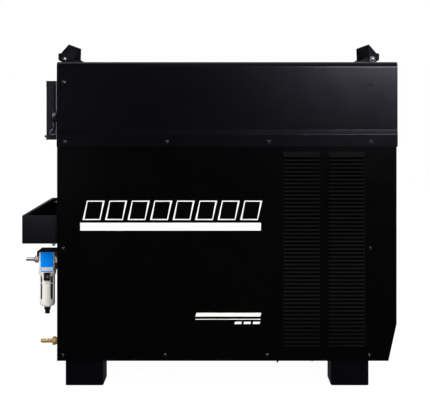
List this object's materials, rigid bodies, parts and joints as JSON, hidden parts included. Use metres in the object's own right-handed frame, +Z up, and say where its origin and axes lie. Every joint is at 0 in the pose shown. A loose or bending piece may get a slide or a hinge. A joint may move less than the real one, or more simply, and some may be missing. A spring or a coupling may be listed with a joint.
{
  "type": "plasma cutter power unit",
  "caption": "Sheet-metal cutting power cabinet with louvred sides, folded hood, hinged lifting handles, rear tray, air filter and remote-control interface.",
  "frame": {"origin": "centre of the bounding box's bottom face, on the floor", "axes": "+X towards the front of the cabinet, +Z up, -Y towards the side that carries the air filter"},
  "size_m": [1.123, 0.5774, 1.012],
  "materials": {
    "coat": "fine-texture black powder coat",
    "zinc": "bright zinc plate",
    "ivory": "ivory enamel on die cast metal",
    "clear_plastic": "clear polycarbonate",
    "felt": "white filter felt",
    "black_plastic": "moulded, fine texture",
    "brass": "machined",
    "grey_seal": "matt sponge rubber",
    "cast_aluminium": "machined, slightly dull",
    "steel_wire": "bare steel",
    "lens": "smoked, polished",
    "copper": "enamelled copper wire",
    "board": "solder-masked circuit board"
  },
  "bodies": {
    "cabinet": {"base_pan": "coat", "hood": "coat", "rear_panel": "coat", "front_fascia": "coat", "front_lower_panel": "coat", "mid_deck": "coat", "side_panel_near": "coat", "side_panel_far": "coat", "top_rail_near": "coat", "top_rail_far": "coat", "foot_rear_near": "coat", "foot_rear_far": "coat", "foot_front_near": "coat", "foot_front_far": "coat", "post_rear_near": "coat", "post_rear_far": "coat", "post_front_near": "coat", "post_front_far": "coat", "rear_ear_near": "coat", "rear_ear_far": "coat", "front_ear_near": "coat", "front_ear_far": "coat", "rear_pivot_bolt_near": "zinc", "rear_pivot_bolt_far": "zinc", "front_pivot_bolt_near": "zinc", "front_pivot_bolt_far": "zinc", "rear_tray": "coat", "filter_bracket": "coat", "filter_body": "ivory", "bowl_guard": "ivory", "filter_bowl": "clear_plastic", "filter_element": "felt", "inlet_barb": "zinc", "outlet_nipple": "zinc", "outlet_barb": "brass", "interface_base": "coat", "interface_seal": "grey_seal", "interface_cover": "coat", "control_socket": "cast_aluminium", "cap_lanyard": "steel_wire", "fan_shroud": "coat", "fan_motor": "steel_wire", "display_lens": "lens", "output_socket_low": "brass", "output_socket_high": "brass", "torch_socket": "brass", "transformer_core": "steel_wire", "transformer_winding": "copper", "heat_sink": "cast_aluminium", "power_board": "board", "contactor": "black_plastic", "gas_valve": "brass"},
    "rear_handle": {"rear_handle": "coat"},
    "front_handle": {"front_handle": "coat"},
    "drain_cock": {"drain_cock": "black_plastic"},
    "bowl_latch": {"bowl_latch": "black_plastic"},
    "dust_cap": {"dust_cap": "cast_aluminium"},
    "fan_rotor": {"fan_rotor": "black_plastic"},
    "current_knob": {"current_knob": "black_plastic"},
    "power_switch": {"power_switch": "black_plastic"}
  },
  "joints": [
    {"name": "rear_handle_pivot", "type": "hinge", "parent": "cabinet", "child": "rear_handle", "pos_m": [-0.4355, 0, 0.966], "axis": [0, -1, 0], "range_deg": [0, 45]},
    {"name": "front_handle_pivot", "type": "hinge", "parent": "cabinet", "child": "front_handle", "pos_m": [0.5095, 0, 0.966], "axis": [0, 1, 0], "range_deg": [0, 45]},
    {"name": "drain_cock_turn", "type": "hinge", "parent": "cabinet", "child": "drain_cock", "pos_m": [-0.4955, -0.105, 0.19], "axis": [0, 0, 1], "range_deg": [0, 90]},
    {"name": "bowl_latch_slide", "type": "slide", "parent": "cabinet", "child": "bowl_latch", "axis": [0, 0, -1], "range_m": [0, 0.003], "stiffness_N_per_m": 300, "springref_m": -0.001},
    {"name": "dust_cap_turn", "type": "hinge", "parent": "cabinet", "child": "dust_cap", "pos_m": [-0.4485, -0.252, 0.79], "axis": [-1, 0, 0], "range_deg": [0, 90]},
    {"name": "fan_spin", "type": "hinge", "parent": "cabinet", "child": "fan_rotor", "pos_m": [0.4865, 0, 0.25], "axis": [1, 0, 0], "continuous": true},
    {"name": "current_knob_turn", "type": "hinge", "parent": "cabinet", "child": "current_knob", "pos_m": [0.5165, 0.09, 0.83], "axis": [-1, 0, 0], "range_deg": [0, 270]},
    {"name": "power_switch_rock", "type": "hinge", "parent": "cabinet", "child": "power_switch", "pos_m": [0.5085, 0.09, 0.69], "axis": [0, -1, 0], "range_deg": [0, 14]}
  ]
}
